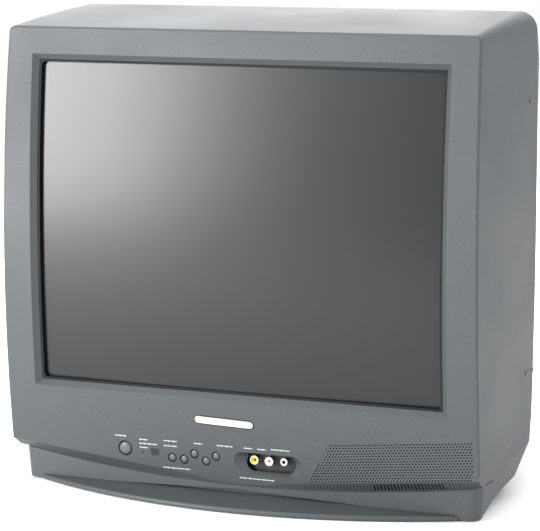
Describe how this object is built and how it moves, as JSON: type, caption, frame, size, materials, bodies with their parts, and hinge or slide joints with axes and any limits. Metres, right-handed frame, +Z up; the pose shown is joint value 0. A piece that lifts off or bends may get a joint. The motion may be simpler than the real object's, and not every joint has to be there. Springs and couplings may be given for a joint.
{
  "type": "cathode ray tube television set",
  "caption": "Boxy grey television set with a wide picture tube, front controls, jack recess, perforated loudspeaker grille and a tapering vented rear cover.",
  "frame": {"origin": "on the ground under the middle of the set, half way between the lip tip and the back of the rear cover", "axes": "+Z up, the screen faces -Y, +X is the viewer's right"},
  "size_m": [0.4912, 0.48, 0.463],
  "materials": {
    "front_cabinet": "fine grained",
    "rear_cover": "fine grained",
    "speaker_grille": "fine grained, perforated",
    "screen_mask": "satin black",
    "tube_faceplate": "dark tinted glass",
    "tube_funnel": "black graphite coat on glass",
    "tube_neck": "clear glass",
    "shadow_mask": "blackened",
    "shadow_mask_frame": "blackened",
    "magnetic_shield": "blackened",
    "tension_band": "zinc plated",
    "electron_gun": "bright",
    "tube_socket": "ivory",
    "tube_screws": "zinc plated",
    "line_coils": "enamelled copper wire",
    "field_coils": "enamelled copper wire",
    "yoke_housing": "white",
    "ferrite_core": "dull ferrite",
    "yoke_clamp": "zinc plated",
    "magnet_sleeve": "black",
    "purity_rings": "red-brown magnet plastic",
    "four_pole_rings": "black magnet plastic",
    "six_pole_rings": "dark magnet plastic",
    "anode_lead": "dark red",
    "degaussing_coil": "black tape over wire",
    "main_board": "brown laminate",
    "chassis_frame": "black",
    "neck_board": "brown laminate",
    "control_board": "brown laminate",
    "flyback_transformer": "black potting",
    "screen_voltage_knob": "white",
    "focus_knob": "white",
    "line_output_heatsink": "plain",
    "supply_transformer": "ferrite and tape",
    "mains_filter_choke": "ferrite and wire",
    "fuse": "clear glass",
    "electrolytic_capacitors": "dark blue sleeve",
    "board_components": "black epoxy",
    "tuner": "tinned",
    "rear_jack_block": "black",
    "cord_gland": "black",
    "power_button": "satin silver",
    "menu_button": "satin silver",
    "input_button": "satin silver",
    "volume_down_button": "satin silver",
    "volume_up_button": "satin silver",
    "channel_button": "satin silver",
    "front_switches": "black",
    "standby_lamp": "dark red",
    "remote_sensor": "infrared black",
    "front_jack_carrier": "black",
    "front_jack_rings": "nickel",
    "video_jack_insert": "yellow",
    "audio_jack_insert": "white",
    "speaker_frame": "black",
    "speaker_cone": "dark paper pulp",
    "speaker_surround": "black",
    "rear_cover_screws": "black zinc",
    "foot_pads": "black",
    "wiring": "wire sleeving"
  },
  "bodies": {
    "set": {"front_cabinet": "front_cabinet", "rear_cover": "rear_cover", "speaker_grille": "speaker_grille", "screen_mask": "screen_mask", "tube_faceplate": "tube_faceplate", "tube_funnel": "tube_funnel", "tube_neck": "tube_neck", "shadow_mask": "shadow_mask", "shadow_mask_frame": "shadow_mask_frame", "magnetic_shield": "magnetic_shield", "tension_band": "tension_band", "electron_gun": "electron_gun", "tube_socket": "tube_socket", "tube_screws": "tube_screws", "line_coils": "line_coils", "field_coils": "field_coils", "yoke_housing": "yoke_housing", "ferrite_core": "ferrite_core", "yoke_clamp": "yoke_clamp", "magnet_sleeve": "magnet_sleeve", "anode_lead": "anode_lead", "degaussing_coil": "degaussing_coil", "main_board": "main_board", "chassis_frame": "chassis_frame", "neck_board": "neck_board", "control_board": "control_board", "flyback_transformer": "flyback_transformer", "line_output_heatsink": "line_output_heatsink", "supply_transformer": "supply_transformer", "mains_filter_choke": "mains_filter_choke", "fuse": "fuse", "electrolytic_capacitors": "electrolytic_capacitors", "board_components": "board_components", "tuner": "tuner", "rear_jack_block": "rear_jack_block", "cord_gland": "cord_gland", "front_switches": "front_switches", "standby_lamp": "standby_lamp", "remote_sensor": "remote_sensor", "front_jack_carrier": "front_jack_carrier", "front_jack_rings": "front_jack_rings", "video_jack_insert": "video_jack_insert", "audio_jack_insert": "audio_jack_insert", "speaker_frame": "speaker_frame", "speaker_surround": "speaker_surround", "rear_cover_screws": "rear_cover_screws", "foot_pads": "foot_pads", "wiring": "wiring"},
    "power_button": {"power_button": "power_button"},
    "menu_button": {"menu_button": "menu_button"},
    "input_button": {"input_button": "input_button"},
    "volume_down_button": {"volume_down_button": "volume_down_button"},
    "volume_up_button": {"volume_up_button": "volume_up_button"},
    "channel_button": {"channel_button": "channel_button"},
    "screen_voltage_knob": {"screen_voltage_knob": "screen_voltage_knob"},
    "focus_knob": {"focus_knob": "focus_knob"},
    "purity_rings": {"purity_rings": "purity_rings"},
    "four_pole_rings": {"four_pole_rings": "four_pole_rings"},
    "six_pole_rings": {"six_pole_rings": "six_pole_rings"},
    "speaker_cone": {"speaker_cone": "speaker_cone"}
  },
  "joints": [
    {"name": "power_button_press", "type": "slide", "parent": "set", "child": "power_button", "axis": [0, 1, 0], "range_m": [0, 0.003], "stiffness_N_per_m": 300, "springref_m": -0.001},
    {"name": "menu_button_press", "type": "slide", "parent": "set", "child": "menu_button", "axis": [0, 1, 0], "range_m": [0, 0.001], "stiffness_N_per_m": 600, "springref_m": -0.0005},
    {"name": "input_button_press", "type": "slide", "parent": "set", "child": "input_button", "axis": [0, 1, 0], "range_m": [0, 0.001], "stiffness_N_per_m": 600, "springref_m": -0.0005},
    {"name": "volume_down_button_press", "type": "slide", "parent": "set", "child": "volume_down_button", "axis": [0, 1, 0], "range_m": [0, 0.001], "stiffness_N_per_m": 600, "springref_m": -0.0005},
    {"name": "volume_up_button_press", "type": "slide", "parent": "set", "child": "volume_up_button", "axis": [0, 1, 0], "range_m": [0, 0.001], "stiffness_N_per_m": 600, "springref_m": -0.0005},
    {"name": "channel_button_press", "type": "slide", "parent": "set", "child": "channel_button", "axis": [0, 1, 0], "range_m": [0, 0.001], "stiffness_N_per_m": 600, "springref_m": -0.0005},
    {"name": "screen_voltage_knob_turn", "type": "hinge", "parent": "set", "child": "screen_voltage_knob", "pos_m": [0.119, 0.115, 0.038], "axis": [0, 1, 0], "range_deg": [-135, 135]},
    {"name": "focus_knob_turn", "type": "hinge", "parent": "set", "child": "focus_knob", "pos_m": [0.119, 0.115, 0.05], "axis": [0, 1, 0], "range_deg": [-135, 135]},
    {"name": "purity_rings_turn", "type": "hinge", "parent": "set", "child": "purity_rings", "pos_m": [0, 0.124, 0.2605], "axis": [0, 1, 0], "range_deg": [-45, 45]},
    {"name": "four_pole_rings_turn", "type": "hinge", "parent": "set", "child": "four_pole_rings", "pos_m": [0, 0.133, 0.2605], "axis": [0, 1, 0], "range_deg": [-45, 45]},
    {"name": "six_pole_rings_turn", "type": "hinge", "parent": "set", "child": "six_pole_rings", "pos_m": [0, 0.142, 0.2605], "axis": [0, 1, 0], "range_deg": [-45, 45]},
    {"name": "speaker_cone_travel", "type": "slide", "parent": "set", "child": "speaker_cone", "axis": [0, 1, 0], "range_m": [-0.0005, 0.0005], "stiffness_N_per_m": 2500, "deforming": ["speaker_surround"]}
  ]
}
